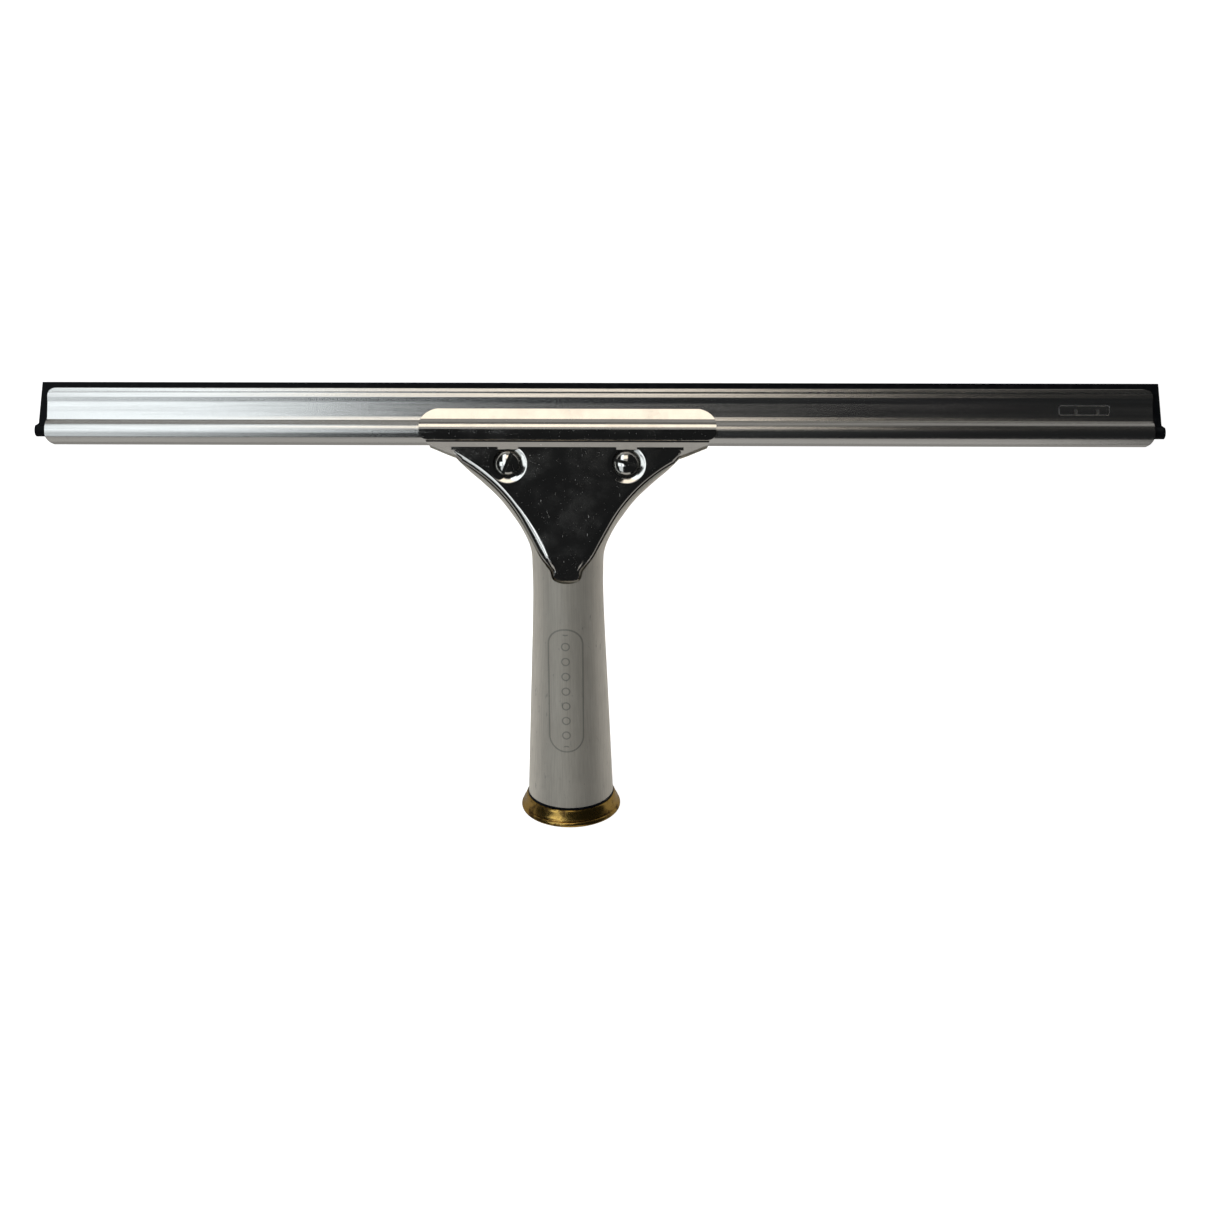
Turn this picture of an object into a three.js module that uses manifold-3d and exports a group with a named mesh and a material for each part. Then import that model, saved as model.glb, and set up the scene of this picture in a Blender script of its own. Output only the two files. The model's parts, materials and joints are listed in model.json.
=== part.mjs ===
// Window cleaning squeegee with a two-screw clamp handle, in millimetres.
// Everything is drawn in the handle's frame: the socket mouth is at y = 0, +Y runs up the handle
// to the blade and +Z comes out of the front. The head has a frame of its own, centred on the
// channel's bead. The last lines lay the tool on its back, on the flange and the rubber's edge.
import * as THREE from "three";
import { mergeVertices } from "three/addons/utils/BufferGeometryUtils.js";
import Module from "manifold-3d";

const wasm = await Module();
wasm.setup();

// ---- driving dimensions -------------------------------------------------------------------
const SHEET = 1.1; // stainless sheet of the handle and the clamp plate
const FIT = 0.3; // clearance between pieces that sit beside each other
const FACETS = 40; // sides of a round piece

const HEAD_ANGLE = THREE.MathUtils.degToRad(25); // blade's plane to the handle's axis
const HEAD_REACH = 129; // socket mouth to the bead's centre, along the handle
const HEAD_DROP = 12.1; // how far the bead's centre lies behind the handle's axis

const CHANNEL_LENGTH = 355.6; // a 14 inch channel
const CHANNEL_OFFSET = 9; // the channel is clamped a little off centre
const CHANNEL_WALL = 0.6;
const BEAD_RADIUS = 4.2; // outside of the channel's round back
const CHANNEL_HALF_FLAT = 1.75; // bead plane to the outside of a flat wall
const CHANNEL_TOP = 14.4; // bead's centre to the lips
const LIP_DEPTH = 4; // height of the ribbed lips
const LIP_PROUD = 0.35; // how far the lips stand out from the flats
const LIP_CORNER = 3; // rounding of the channel's corners at the lips

const RUBBER_HALF_WEB = 0.9;
const RUBBER_BEAD_RADIUS = 1.95;
const RUBBER_BEAD_AT = 0.3; // its bead sits a little above the channel's
const RUBBER_REVEAL = 1.7; // height of rubber that stands out of the lips
const RUBBER_END_LIP = 2; // overhang past the channel's end at the wiping edge
const RUBBER_END_BEAD = 4; // and at the bead

const CLIP_LENGTH = 9;
const CLIP_SHEET = 0.35;
const CLIP_INSET = 1.5; // channel's end to the clip
const CLIP_MOUTH = 0.9; // half the angle that the clip leaves open, in radians

const JAW_HALF_LENGTH = 47.6;
const JAW_TOP = 7.1; // bead's centre to the jaws' upper edges
const JAW_LAND = 6; // where a jaw's inside turns from the flat wall towards the bead
const VALLEY_LEVEL = 3.3; // front surface of the groove under the front jaw
const FAN_TOP = 5.6; // bead's centre down to the raised fan
const FAN_LEVEL = 5.4; // front surface of the raised fan
const FAN_ROUND = 1.4; // rounding of the fan's rim
const SKIRT_LEVEL = 0.6; // how deep the fan's skirt reaches
const NOSE_AT = 43.9; // bead's centre down to where the fan's nose rounds over
const NOSE_ROUND = 2.4; // length of the rounded nose
const TONGUE_HALF_WIDTH = 4.2;
const TONGUE_REACH = 9; // how far the tongue runs under the handle's front, past the nose
const TONGUE_DROP = 5.6;

const SCREW_SPACING = 38;
const SCREW_AT = 10.6; // bead's centre down to the screws
const SCREW_RADIUS = 2.05;
const SCREW_TIP = -7.4; // where the screw's end stands, behind the back plate
const HEAD_RADIUS = 3.85;
const HEAD_HEIGHT = 2.4;
const SLOT_WIDTH = 1.1;
const SLOT_DEPTH = 1.1;
const SLOT_TURNS = [67.5, -15].map(THREE.MathUtils.degToRad);
const SCREW_HOLE_CLEARANCE = 0.35;
const WASHER_RADIUS = 4.4;
const WASHER_THICK = 0.5;
const SEAT_RADIUS = 4.75; // floor of the dimple round a screw
const SEAT_FLARE = 0.9; // how much wider the dimple is at the fan's face
const NUT_FLATS = 7;
const NUT_THICK = 2.6;
const HOLLOW_MIDDLE = 0.6; // level midway between the handle's walls beside the nuts
const HOLLOW_HALF_WIDTH = 28.4; // half width of the handle's hollow there
const THREAD_CLEARANCE = 0.1;
const BACK_LEVEL = -5; // outside of the back plate beside the rear jaw

const TUBE_START = 6.4; // socket mouth to the tube's end
const TUBE_RADIUS_END = 14.4;
const TUBE_RADIUS_NECK = 11.6;
const NECK_AT = 74; // where the tube begins to spread into the fan

const FLANGE_RADIUS = 16.9;
const FLANGE_RIM = 1.9; // height of the rolled rim
const SHOULDER_RADIUS = 15.3;
const SEAL_HEIGHT = 0.8;
const BUSHING_SLEEVE = 22; // length inside the tube
const SOCKET_RADIUS = 11; // at the mouth
const SOCKET_RADIUS_DEEP = 10.3;

// ---- helpers ------------------------------------------------------------------------------
const solid = (geometry) => {
  const bare = geometry.index ? geometry.toNonIndexed() : geometry.clone();
  bare.deleteAttribute("normal");
  bare.deleteAttribute("uv");
  const merged = mergeVertices(bare, 1e-4);
  return new wasm.Manifold(
    new wasm.Mesh({
      numProp: 3,
      vertProperties: merged.attributes.position.array,
      triVerts: new Uint32Array(merged.index.array),
    }),
  );
};

const geometryOf = (manifold) => {
  const mesh = manifold.getMesh();
  const geometry = new THREE.BufferGeometry();
  geometry.setAttribute("position", new THREE.BufferAttribute(mesh.vertProperties.slice(), 3));
  geometry.setIndex(new THREE.BufferAttribute(mesh.triVerts.slice(), 1));
  return geometry.toNonIndexed();
};

const vec2 = (x, y) => new THREE.Vector2(x, y);
const mirrorX = (points) => points.map((p) => vec2(-p.x, p.y)).reverse();

// Points on an arc about (0, 0) of the head's section. The angle starts at the front and
// grows towards the blade's edge; side is 1 for the front jaw and -1 for the rear one.
const beadArc = (radius, from, to, side = 1, steps = 10) =>
  Array.from({ length: steps + 1 }, (_, i) => {
    const a = from + ((to - from) * i) / steps;
    return vec2(radius * Math.sin(a), side * radius * Math.cos(a));
  });

// Angle of the point where a line from (up, out) touches a circle about (0, 0).
const tangentAngle = (radius, up, out) =>
  Math.atan2(up, out) - Math.acos(radius / Math.hypot(up, out));

// A section drawn as (up the head, out of the front), drawn out along X about x = centre.
const bar = (points, length, centre = 0) => {
  const shape = new THREE.Shape(points);
  const geometry = new THREE.ExtrudeGeometry(shape, { depth: length, bevelEnabled: false });
  const turn = new THREE.Matrix4().makeBasis(
    new THREE.Vector3(0, 1, 0),
    new THREE.Vector3(0, 0, 1),
    new THREE.Vector3(1, 0, 0),
  );
  geometry.applyMatrix4(turn).translate(centre - length / 2, 0, 0);
  return geometry;
};

// An outline drawn as (across, up the head), raised from one front level to another.
const plate = (points, low, high) =>
  new THREE.ExtrudeGeometry(new THREE.Shape(points), { depth: high - low, bevelEnabled: false })
    .translate(0, 0, low);

// A closed outline moved outwards by a distance (inwards if it is negative).
const offsetOutline = (points, distance) =>
  points.map((p, i) => {
    const before = points[(i + points.length - 1) % points.length];
    const after = points[(i + 1) % points.length];
    const a = p.clone().sub(before).normalize();
    const b = after.clone().sub(p).normalize();
    const normal = vec2(a.y + b.y, -a.x - b.x).normalize();
    const spread = Math.max(0.3, normal.dot(vec2(a.y, -a.x)));
    return p.clone().addScaledVector(normal, distance / spread);
  });

// A closed body through rings that hold the same number of points. Rings that are not convex
// are flat in X and Y, and their ends are cut into triangles as outlines.
const loft = (rings, hollowSided = false) => {
  const around = rings[0].length;
  const corners = rings.flat();
  const faces = [];
  for (let r = 0; r + 1 < rings.length; r++)
    for (let i = 0; i < around; i++) {
      const j = (i + 1) % around;
      const [a, b] = [r * around + i, r * around + j];
      faces.push(a, b, b + around, a, b + around, a + around);
    }
  const fanned = Array.from({ length: around - 2 }, (_, i) => [0, i + 1, i + 2]);
  const cap = (ring, flip) => {
    const cut = hollowSided ? THREE.ShapeUtils.triangulateShape(rings[ring], []) : fanned;
    const first = ring * around;
    for (const [a, b, c] of cut)
      faces.push(first + a, first + (flip ? c : b), first + (flip ? b : c));
  };
  cap(0, true);
  cap(rings.length - 1, false);
  const geometry = new THREE.BufferGeometry().setFromPoints(corners);
  geometry.setIndex(faces);
  return geometry;
};

// The same outline raised with a rounded upper rim.
const pan = (points, low, high, round) => {
  const steps = 4;
  const levels = [low, ...Array.from({ length: steps + 1 }, (_, i) =>
    high - round + round * Math.sin((Math.PI / 2) * (i / steps)))];
  const insets = [0, ...Array.from({ length: steps + 1 }, (_, i) =>
    round - round * Math.cos((Math.PI / 2) * (i / steps)))];
  const rings = levels.map((level, i) =>
    offsetOutline(points, -insets[i]).map((p) => new THREE.Vector3(p.x, p.y, level)));
  return loft(rings, true);
};

const lathe = (pairs, facets = FACETS) =>
  new THREE.LatheGeometry([...pairs, pairs[0]].map(([r, y]) => vec2(r, y)), facets);

// A round piece turned about the screws' direction: pairs are (radius, front level).
const turned = (pairs, facets = FACETS) => lathe(pairs, facets).rotateX(Math.PI / 2);

const drum = (radius, low, high, facets = FACETS) =>
  turned([[0, low], [radius, low], [radius, high], [0, high]], facets);

// ---- frames -------------------------------------------------------------------------------
const headPlace = new THREE.Matrix4()
  .makeTranslation(0, HEAD_REACH, -HEAD_DROP)
  .multiply(new THREE.Matrix4().makeRotationX(-HEAD_ANGLE));
const screwPlaces = [-SCREW_SPACING / 2, SCREW_SPACING / 2];
const screwSides = ["left", "right"];

// ---- outlines shared by the jaws, the fan and the handle -------------------------------------
// Right half of the clamp plate's side, from the groove's end down to the nose.
const fanSide = new THREE.SplineCurve([
  vec2(38.6, -6.7),
  vec2(34, -10.2),
  vec2(29.6, -12.9),
  vec2(25.1, -16.6),
  vec2(20.5, -21.4),
  vec2(16.7, -26.4),
  vec2(13.4, -31.4),
  vec2(10.8, -36),
  vec2(8.4, -40.4),
  vec2(5, -NOSE_AT),
  vec2(0, -NOSE_AT - NOSE_ROUND),
]).getPoints(24);

const fanOutline = (() => {
  const right = [vec2(fanSide[0].x + 1.2, -FAN_TOP), ...fanSide.slice(2)];
  return [...right, ...mirrorX(right).slice(1)].reverse();
})();

// Outline of both jaws with the groove's slanted ends, seen from the front.
const jawOutline = (() => {
  const upper = new THREE.EllipseCurve(
    JAW_HALF_LENGTH - 7.2, 1.9, 7.2, JAW_TOP - 1.9, Math.PI / 2, 0, true,
  ).getPoints(8);
  const lower = new THREE.EllipseCurve(
    JAW_HALF_LENGTH - 2.2, -0.6, 2.2, 2.4, 0, -Math.PI / 2, true,
  ).getPoints(5);
  const right = [...upper, ...lower, vec2(JAW_HALF_LENGTH - 2.4, -4.2), vec2(38.6, -6.9)];
  const foot = [vec2(36, -FAN_TOP - 3.2)];
  return [...right, ...foot, ...mirrorX(foot), ...mirrorX(right)].reverse();
})();

// ---- rubber, channel and clips ---------------------------------------------------------------
const channelInner = BEAD_RADIUS - CHANNEL_WALL;
const wallInner = CHANNEL_HALF_FLAT - CHANNEL_WALL;
const rubberTop = CHANNEL_TOP + RUBBER_REVEAL;

function channelGeometry() {
  const lipFoot = CHANNEL_TOP - LIP_DEPTH;
  const lipFace = CHANNEL_HALF_FLAT + LIP_PROUD;
  const neck = Math.asin(Math.min(1, (CHANNEL_HALF_FLAT + 0.75) / BEAD_RADIUS));
  const neckInner = Math.asin(Math.min(1, (wallInner + 0.5) / channelInner));
  const outer = [
    ...beadArc(BEAD_RADIUS, -Math.PI / 2, Math.PI / 2 - neck, 1, 14),
    vec2(BEAD_RADIUS, CHANNEL_HALF_FLAT + 0.12),
    vec2(BEAD_RADIUS + 0.6, CHANNEL_HALF_FLAT),
    vec2(lipFoot - 0.15, CHANNEL_HALF_FLAT),
    vec2(lipFoot + 0.15, lipFace),
    vec2(lipFoot + 1.35, lipFace),
    vec2(lipFoot + 1.6, lipFace - LIP_PROUD),
    vec2(lipFoot + 2, lipFace - LIP_PROUD),
    vec2(lipFoot + 2.25, lipFace),
    vec2(CHANNEL_TOP - 0.3, lipFace),
    vec2(CHANNEL_TOP, lipFace - 0.3),
  ];
  const inner = [
    vec2(CHANNEL_TOP, wallInner),
    vec2(channelInner + 0.5, wallInner),
    ...beadArc(channelInner, Math.PI / 2 - neckInner, -Math.PI / 2, 1, 12),
  ];
  // The wall runs up the front, down inside it, round the bead and up inside the back.
  const outside = [...outer.map((p) => vec2(p.x, -p.y)).reverse(), ...outer.slice(1)];
  const inside = [...inner, ...inner.slice(0, -1).map((p) => vec2(p.x, -p.y)).reverse()];
  const long = solid(bar([...outside, ...inside], CHANNEL_LENGTH, CHANNEL_OFFSET));
  const half = CHANNEL_LENGTH / 2;
  const corner = new THREE.EllipseCurve(
    half - LIP_CORNER, CHANNEL_TOP - LIP_CORNER, LIP_CORNER, LIP_CORNER, 0, Math.PI / 2,
  ).getPoints(5);
  const heel = new THREE.EllipseCurve(half - 2.2, 0.2 - BEAD_RADIUS + 2.2, 2.2, 2.4, -Math.PI / 2, 0)
    .getPoints(4);
  const right = [...heel, ...corner].reverse();
  const mask = [...right, ...mirrorX(right)].reverse();
  const cut = solid(plate(mask, -20, 20).translate(CHANNEL_OFFSET, 0, 0));
  return geometryOf(long.intersect(cut));
}

function rubberGeometry() {
  const neck = Math.asin(RUBBER_HALF_WEB / RUBBER_BEAD_RADIUS);
  const side = [
    ...beadArc(RUBBER_BEAD_RADIUS, -Math.PI / 2, Math.PI / 2 - neck, 1, 8)
      .map((p) => vec2(p.x + RUBBER_BEAD_AT, p.y)),
    vec2(rubberTop, RUBBER_HALF_WEB),
  ];
  const section = [...side.map((p) => vec2(p.x, -p.y)).reverse(), ...side.slice(1)];
  const half = CHANNEL_LENGTH / 2;
  const beadTop = RUBBER_BEAD_AT + RUBBER_BEAD_RADIUS;
  const right = [
    vec2(half + RUBBER_END_LIP, rubberTop + 1),
    vec2(half + RUBBER_END_BEAD - 0.8, beadTop),
    vec2(half + RUBBER_END_BEAD, beadTop - 1),
    vec2(half + RUBBER_END_BEAD, RUBBER_BEAD_AT - 1),
    vec2(half + RUBBER_END_BEAD - 0.6, -3),
  ];
  const mask = [...right, ...mirrorX(right)].reverse();
  const long = solid(bar(section, CHANNEL_LENGTH + 20, CHANNEL_OFFSET));
  const cut = solid(plate(mask, -20, 20).translate(CHANNEL_OFFSET, 0, 0));
  return geometryOf(long.intersect(cut));
}

function clipGeometry(side) {
  const outer = channelInner - FIT / 2;
  const start = Math.PI / 2 - CLIP_MOUTH;
  const wrap = (radius, from, to) =>
    Array.from({ length: 21 }, (_, i) => {
      const a = from + ((to - from) * i) / 20;
      return vec2(radius * Math.sin(a), radius * Math.cos(a));
    });
  const end = start - 2 * (Math.PI - CLIP_MOUTH);
  const section = [...wrap(outer, start, end), ...wrap(outer - CLIP_SHEET, end, start)];
  const centre = side * (CHANNEL_LENGTH / 2 - CLIP_INSET - CLIP_LENGTH / 2) + CHANNEL_OFFSET;
  return bar(section.reverse(), CLIP_LENGTH, centre);
}

// ---- jaws and clamp plate ----------------------------------------------------------------------
const jawInner = BEAD_RADIUS + FIT;
const jawOuter = jawInner + SHEET;
const landInner = CHANNEL_HALF_FLAT + FIT;
const landOuter = landInner + SHEET;

// One jaw from its upper edge, over the bead, to a flat that runs down behind or before the fan.
function jawSection(side, level, lastAngle) {
  const outerStart = tangentAngle(jawOuter, JAW_TOP, landOuter);
  const innerStart = tangentAngle(jawInner, JAW_LAND, landInner);
  const inside = level - SHEET;
  const innerEnd = -Math.acos(Math.min(1, inside / jawInner));
  const foot = -FAN_TOP - 3;
  return [
    vec2(JAW_TOP, side * landInner),
    vec2(JAW_TOP, side * landOuter),
    ...beadArc(jawOuter, outerStart, lastAngle, side, 10),
    vec2(-Math.sqrt(Math.max(0, jawInner ** 2 - inside ** 2)) - 0.6, side * level),
    vec2(foot, side * level),
    vec2(foot, side * inside),
    ...beadArc(jawInner, innerEnd, innerStart, side, 10),
    vec2(JAW_LAND, side * landInner),
  ];
}

const noseTip = -NOSE_AT - NOSE_ROUND;
const tongueRoot = FAN_LEVEL - SHEET / 2;
const tongueOutline = [
  vec2(noseTip + 3, tongueRoot),
  vec2(noseTip + 0.9, tongueRoot - 0.8),
  vec2(noseTip - TONGUE_REACH, tongueRoot - 0.8 - TONGUE_DROP),
  vec2(noseTip - TONGUE_REACH, tongueRoot - 0.8 - TONGUE_DROP - SHEET),
  vec2(noseTip + 0.9, tongueRoot - 0.8 - SHEET),
  vec2(noseTip + 3, tongueRoot - SHEET),
];

function clampPlateGeometry() {
  const rise = FAN_LEVEL - VALLEY_LEVEL;
  const strip = solid(
    bar(jawSection(1, VALLEY_LEVEL, -0.5).reverse(), 2 * JAW_HALF_LENGTH + 2),
  ).intersect(solid(plate(jawOutline, -20, 20)));
  const inner = offsetOutline(fanOutline, -SHEET);
  let shell = solid(pan(fanOutline, SKIRT_LEVEL, FAN_LEVEL, FAN_ROUND)).subtract(
    solid(pan(inner, SKIRT_LEVEL - 5, FAN_LEVEL - SHEET, FAN_ROUND - 0.6)),
  );
  // The skirt is open under the jaw, where the groove passes into the fan.
  shell = shell.subtract(
    solid(new THREE.BoxGeometry(2 * JAW_HALF_LENGTH, 2 * SHEET, 4)
      .translate(0, -FAN_TOP, VALLEY_LEVEL - SHEET - 2)),
  );
  shell = shell.add(strip);
  for (const x of screwPlaces) {
    const at = (geometry) => solid(geometry.translate(x, -SCREW_AT, 0));
    const cup = turned([
      [0, VALLEY_LEVEL - SHEET],
      [SEAT_RADIUS + SHEET, VALLEY_LEVEL - SHEET],
      [SEAT_RADIUS + SHEET + SEAT_FLARE, FAN_LEVEL - 0.4],
      [0, FAN_LEVEL - 0.4],
    ]);
    const seat = turned([
      [0, VALLEY_LEVEL],
      [SEAT_RADIUS, VALLEY_LEVEL],
      [SEAT_RADIUS + SEAT_FLARE, VALLEY_LEVEL + rise],
      [SEAT_RADIUS + SEAT_FLARE, FAN_LEVEL + 5],
      [0, FAN_LEVEL + 5],
    ]);
    const cupInFan = at(cup).intersect(solid(plate(fanOutline, -20, 20)));
    shell = shell.add(cupInFan).subtract(at(seat));
    shell = shell.subtract(at(drum(SCREW_RADIUS + SCREW_HOLE_CLEARANCE, -20, 20)));
  }
  const tongue = solid(bar([...tongueOutline].reverse(), 2 * TONGUE_HALF_WIDTH));
  return geometryOf(shell.add(tongue));
}

// ---- handle ------------------------------------------------------------------------------------
const inHead = (down, level) => new THREE.Vector3(0, -down, level).applyMatrix4(headPlace);

// Stations of the handle: front crest, back crest, half width and squareness of each section.
const stations = (() => {
  const round = (y, radius) => ({
    front: new THREE.Vector3(0, y, radius),
    back: new THREE.Vector3(0, y, -radius),
    width: radius,
    square: 2,
  });
  const head = (down, front, back, width, square) => ({
    front: inHead(down, front),
    back: inHead(down, back),
    width,
    square,
  });
  return [
    round(TUBE_START, TUBE_RADIUS_END),
    round((TUBE_START + NECK_AT) / 2, (TUBE_RADIUS_END + TUBE_RADIUS_NECK) / 2),
    round(NECK_AT, TUBE_RADIUS_NECK),
    head(43.5, 5.3, -19.2, 11.5, 2.1),
    head(37, 6, -16.2, 12, 2.4),
    head(31, 6.4, -13, 14.9, 2.7),
    head(26, 6.5, -10.2, 18.3, 3),
    head(21, 6.5, -7.7, 22.3, 3),
    head(16, 6.4, -5.8, 27.6, 3),
    head(12.4, 6.2, BACK_LEVEL, 31.9, 3),
    head(8.6, 6, BACK_LEVEL, 35.8, 3),
    head(5.4, 6, BACK_LEVEL, 38.4, 3),
  ];
})();

function handleRings(inset, stretch) {
  const steps = 30;
  const curve = (pick) => new THREE.CatmullRomCurve3(stations.map(pick), false, "centripetal");
  const fronts = curve((s) => s.front);
  const backs = curve((s) => s.back);
  const shapes = curve((s) => new THREE.Vector3(s.width, s.square, 0));
  const rings = Array.from({ length: steps + 1 }, (_, k) => {
    const t = k / steps;
    const [front, back, shape] = [fronts.getPoint(t), backs.getPoint(t), shapes.getPoint(t)];
    const middle = front.clone().add(back).multiplyScalar(0.5);
    const reach = front.clone().sub(back).multiplyScalar(0.5);
    const depth = reach.length();
    reach.normalize();
    const power = 2 / shape.y;
    return Array.from({ length: FACETS }, (_, i) => {
      const a = (2 * Math.PI * i) / FACETS;
      const [c, s] = [Math.cos(a), Math.sin(a)];
      const x = Math.sign(c) * Math.abs(c) ** power * (shape.x - inset);
      const out = Math.sign(s) * Math.abs(s) ** power * (depth - inset);
      return middle.clone().addScaledVector(reach, out).setX(x);
    });
  });
  if (stretch) {
    rings[0].forEach((p) => (p.y -= stretch));
    const end = new THREE.Vector3(0, stretch, 0).transformDirection(headPlace);
    rings[steps].forEach((p) => p.addScaledVector(end, stretch));
  }
  return rings.map((ring) => ring.reverse());
}

function handleGeometry() {
  const inHeadFrame = (geometry) => solid(geometry.applyMatrix4(headPlace));
  const shell = solid(loft(handleRings(0, 0))).subtract(solid(loft(handleRings(SHEET, 3))));
  // The clamp plate drops into an opening cut right through the front of the fan.
  const opening = plate(offsetOutline(fanOutline, FIT), SKIRT_LEVEL - FIT, 30);
  const groove = plate(offsetOutline(jawOutline, FIT), SKIRT_LEVEL - FIT, 30);
  const tongueRoom = bar(
    offsetOutline(tongueOutline, FIT + 0.1),
    2 * (TONGUE_HALF_WIDTH + FIT),
  );
  const noseSlot = plate(
    offsetOutline([
      vec2(-TONGUE_HALF_WIDTH, noseTip - 0.8),
      vec2(-TONGUE_HALF_WIDTH * 0.6, noseTip - 2.2),
      vec2(TONGUE_HALF_WIDTH * 0.6, noseTip - 2.2),
      vec2(TONGUE_HALF_WIDTH, noseTip - 0.8),
      vec2(TONGUE_HALF_WIDTH, -NOSE_AT + 2),
      vec2(-TONGUE_HALF_WIDTH, -NOSE_AT + 2),
    ], FIT),
    SKIRT_LEVEL - FIT,
    30,
  );
  let body = shell
    .subtract(inHeadFrame(opening))
    .subtract(inHeadFrame(groove))
    .subtract(inHeadFrame(tongueRoom))
    .subtract(inHeadFrame(noseSlot));
  const rearJaw = solid(
    bar(jawSection(-1, -BACK_LEVEL, -0.44), 2 * JAW_HALF_LENGTH + 2),
  ).intersect(solid(plate(jawOutline, -20, 20)));
  body = body.add(rearJaw.transform(headPlace.elements));
  for (const x of screwPlaces)
    body = body.subtract(
      inHeadFrame(
        drum(SCREW_RADIUS + SCREW_HOLE_CLEARANCE, -20, 0).translate(x, -SCREW_AT, 0),
      ),
    );
  return geometryOf(body);
}

// ---- screws, washers and nuts --------------------------------------------------------------------
const washerLevel = VALLEY_LEVEL + 0.1;
const headLevel = washerLevel + WASHER_THICK + 0.1;

function screwGeometry(slotTurn) {
  const dome = Array.from({ length: 7 }, (_, i) => {
    const a = (Math.PI / 2) * (i / 6);
    return [HEAD_RADIUS * Math.cos(a), headLevel + 0.7 + (HEAD_HEIGHT - 0.7) * Math.sin(a)];
  });
  const blank = turned([
    [0, SCREW_TIP],
    [SCREW_RADIUS - 0.4, SCREW_TIP],
    [SCREW_RADIUS, SCREW_TIP + 0.5],
    [SCREW_RADIUS, headLevel],
    [HEAD_RADIUS, headLevel],
    ...dome.map(([r, level]) => [Math.max(0, r), level]),
  ]);
  const slot = new THREE.BoxGeometry(3 * HEAD_RADIUS, SLOT_WIDTH, 2 * SLOT_DEPTH)
    .rotateZ(slotTurn)
    .translate(0, 0, headLevel + HEAD_HEIGHT);
  return geometryOf(solid(blank).subtract(solid(slot)));
}

const washerGeometry = () =>
  turned([
    [SCREW_RADIUS + 0.15, washerLevel],
    [WASHER_RADIUS, washerLevel],
    [WASHER_RADIUS, washerLevel + WASHER_THICK],
    [SCREW_RADIUS + 0.15, washerLevel + WASHER_THICK],
  ]);

// A nut's outer corner rests on the back plate where the plate curves up to the handle's side.
const nutCorner = (SCREW_SPACING + NUT_FLATS) / 2;
const nutSeat = HOLLOW_MIDDLE - (HOLLOW_MIDDLE - BACK_LEVEL - SHEET)
  * Math.cbrt(1 - (nutCorner / HOLLOW_HALF_WIDTH) ** 3);

function nutGeometry() {
  const hexagon = drum(NUT_FLATS / Math.sqrt(3), nutSeat, nutSeat + NUT_THICK, 6);
  const bore = drum(SCREW_RADIUS + THREAD_CLEARANCE, nutSeat - 1, nutSeat + NUT_THICK + 1);
  return geometryOf(solid(hexagon).subtract(solid(bore)));
}

// ---- bushing and seal ------------------------------------------------------------------------------
function bushingGeometry() {
  const sleeve = TUBE_RADIUS_END - SHEET - FIT;
  const taper = ((TUBE_RADIUS_END - TUBE_RADIUS_NECK) / (NECK_AT - TUBE_START)) * BUSHING_SLEEVE;
  const shoulder = TUBE_START - SEAL_HEIGHT - 0.1;
  const rim = FLANGE_RIM / 2;
  const rolled = Array.from({ length: 7 }, (_, i) => {
    const a = Math.PI * (i / 6) - Math.PI / 2;
    return [FLANGE_RADIUS - rim + rim * Math.cos(a), rim + rim * Math.sin(a)];
  });
  return lathe([
    [SOCKET_RADIUS, 0],
    ...rolled,
    [FLANGE_RADIUS - 0.55, FLANGE_RIM + 0.35],
    [SHOULDER_RADIUS + 0.3, shoulder - 1.6],
    [SHOULDER_RADIUS, shoulder - 0.5],
    [TUBE_RADIUS_END + 0.2, shoulder],
    [sleeve, shoulder],
    [sleeve - taper, TUBE_START + BUSHING_SLEEVE],
    [SOCKET_RADIUS_DEEP, TUBE_START + BUSHING_SLEEVE],
  ]);
}

const sealGeometry = () =>
  lathe([
    [TUBE_RADIUS_END - SHEET - 0.1, TUBE_START - SEAL_HEIGHT],
    [TUBE_RADIUS_END + 0.25, TUBE_START - SEAL_HEIGHT],
    [TUBE_RADIUS_END + 0.05, TUBE_START - 0.1],
    [TUBE_RADIUS_END - SHEET - 0.1, TUBE_START - 0.1],
  ]);

// ---- assembly ----------------------------------------------------------------------------------------
const finish = (color, roughness, metalness) =>
  new THREE.MeshStandardMaterial({ color, roughness, metalness });
const satinSteel = finish(0x86847c, 0.42, 1);
const polishedSteel = finish(0xd8d4c8, 0.08, 1);
const brushedSteel = finish(0xb4b2ac, 0.3, 1);
const springSteel = finish(0x9a9a98, 0.35, 1);
const brass = finish(0xa87a1e, 0.28, 1);
const blackRubber = finish(0x0b0c0f, 0.55, 0);

const squeegee = new THREE.Group();
const laid = new THREE.Group();
const head = new THREE.Group();
head.position.set(0, HEAD_REACH, -HEAD_DROP);
head.rotation.x = -HEAD_ANGLE;
squeegee.add(laid);
laid.add(head);

const put = (group, name, geometry, material) => {
  const mesh = new THREE.Mesh(geometry, material);
  mesh.name = name;
  group.add(mesh);
  return mesh;
};

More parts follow.
